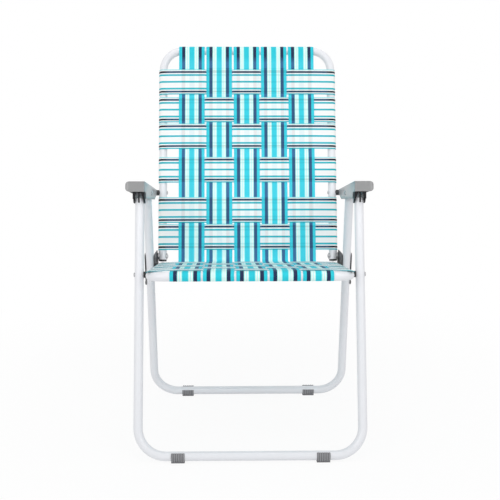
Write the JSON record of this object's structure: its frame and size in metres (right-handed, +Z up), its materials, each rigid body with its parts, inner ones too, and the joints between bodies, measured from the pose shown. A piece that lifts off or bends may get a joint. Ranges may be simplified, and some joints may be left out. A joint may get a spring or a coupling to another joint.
{
  "type": "folding lawn chair",
  "caption": "Folding webbed lawn chair: bent tube back, seat and leg frames on pinned armrests and link brackets, woven strap seat and back.",
  "frame": {"origin": "on the floor, in the middle of the open chair's footprint", "axes": "+Z up; the sitter faces -Y; +X is the right side as seen from the front"},
  "size_m": [0.5398, 0.595, 0.886],
  "materials": {
    "tube_paint": "white powder coat, satin",
    "arm_moulding": "grey moulded, fine grain",
    "bracket_paint": "black powder coat",
    "foot_moulding": "grey moulded",
    "pin_metal": "zinc plated",
    "black_plastic": "black moulded",
    "long_webbing": "woven polypropylene, striped",
    "cross_webbing": "woven polypropylene, white with thin stripes"
  },
  "bodies": {
    "back": {"back_frame": "tube_paint", "back_tube_plug_left": "black_plastic", "back_tube_plug_right": "black_plastic", "back_arm_pin_left": "pin_metal", "back_arm_pin_right": "pin_metal", "back_arm_spacer_left": "black_plastic", "back_arm_spacer_right": "black_plastic", "seat_hinge_pin_left": "pin_metal", "seat_hinge_pin_right": "pin_metal", "hinge_saddle_inner_left": "pin_metal", "hinge_saddle_inner_right": "pin_metal", "hinge_saddle_outer_left": "pin_metal", "hinge_saddle_outer_right": "pin_metal", "back_strap_long_1": "long_webbing", "back_strap_long_2": "long_webbing", "back_strap_long_3": "long_webbing", "back_strap_long_4": "long_webbing", "back_strap_long_5": "long_webbing", "back_strap_cross_1": "cross_webbing", "back_strap_cross_2": "cross_webbing", "back_strap_cross_3": "cross_webbing", "back_strap_cross_4": "cross_webbing", "back_strap_cross_5": "cross_webbing", "back_strap_cross_6": "cross_webbing"},
    "seat": {"seat_frame": "tube_paint", "seat_tube_plug_left": "black_plastic", "seat_tube_plug_right": "black_plastic", "seat_hinge_plate_left": "bracket_paint", "seat_hinge_plate_right": "bracket_paint", "seat_leg_pin_left": "pin_metal", "seat_leg_pin_right": "pin_metal", "seat_leg_bush_left": "black_plastic", "seat_leg_bush_right": "black_plastic", "seat_strap_long_1": "long_webbing", "seat_strap_long_2": "long_webbing", "seat_strap_long_3": "long_webbing", "seat_strap_long_4": "long_webbing", "seat_strap_long_5": "long_webbing", "seat_strap_cross_1": "cross_webbing", "seat_strap_cross_2": "cross_webbing", "seat_strap_cross_3": "cross_webbing", "seat_strap_cross_4": "cross_webbing", "seat_strap_cross_5": "cross_webbing"},
    "arms": {"armrest_left": "arm_moulding", "armrest_right": "arm_moulding", "arm_stop_bracket_left": "bracket_paint", "arm_stop_bracket_right": "bracket_paint", "front_arm_pin_left": "pin_metal", "front_arm_pin_right": "pin_metal", "rear_leg_pin_left": "pin_metal", "rear_leg_pin_right": "pin_metal"},
    "front_legs": {"front_leg_frame": "tube_paint", "front_foot_left": "foot_moulding", "front_foot_right": "foot_moulding"},
    "rear_legs": {"rear_leg_frame": "tube_paint", "rear_foot_left": "foot_moulding", "rear_foot_right": "foot_moulding"},
    "links": {"link_bracket_left": "bracket_paint", "link_bracket_right": "bracket_paint"}
  },
  "joints": [
    {"name": "seat_fold", "type": "hinge", "parent": "back", "child": "seat", "pos_m": [0, 0.13517, 0.3645], "axis": [-1, 0, 0], "range_deg": [0, 91]},
    {"name": "arm_hinge", "type": "hinge", "parent": "back", "child": "arms", "pos_m": [0, 0.18118, 0.51983], "axis": [-1, 0, 0], "range_deg": [0, 91]},
    {"name": "front_leg_hinge", "type": "hinge", "parent": "seat", "child": "front_legs", "pos_m": [0, -0.17464, 0.385], "axis": [-1, 0, 0], "range_deg": [-91, 0]},
    {"name": "rear_leg_hinge", "type": "hinge", "parent": "arms", "child": "rear_legs", "pos_m": [0, 0.0341, 0.53858], "axis": [-1, 0, 0], "range_deg": [-65, 0]},
    {"name": "link_hinge", "type": "hinge", "parent": "back", "child": "links", "pos_m": [0, 0.13517, 0.3645], "axis": [-1, 0, 0], "range_deg": [0, 130]}
  ],
  "couplings": [
    {"joint": "arm_hinge", "follows": "seat_fold", "ratio": 1},
    {"joint": "front_leg_hinge", "follows": "seat_fold", "ratio": -1},
    {"joint": "rear_leg_hinge", "follows": "seat_fold", "ratio": -0.70132},
    {"joint": "link_hinge", "follows": "seat_fold", "ratio": 1.427}
  ]
}
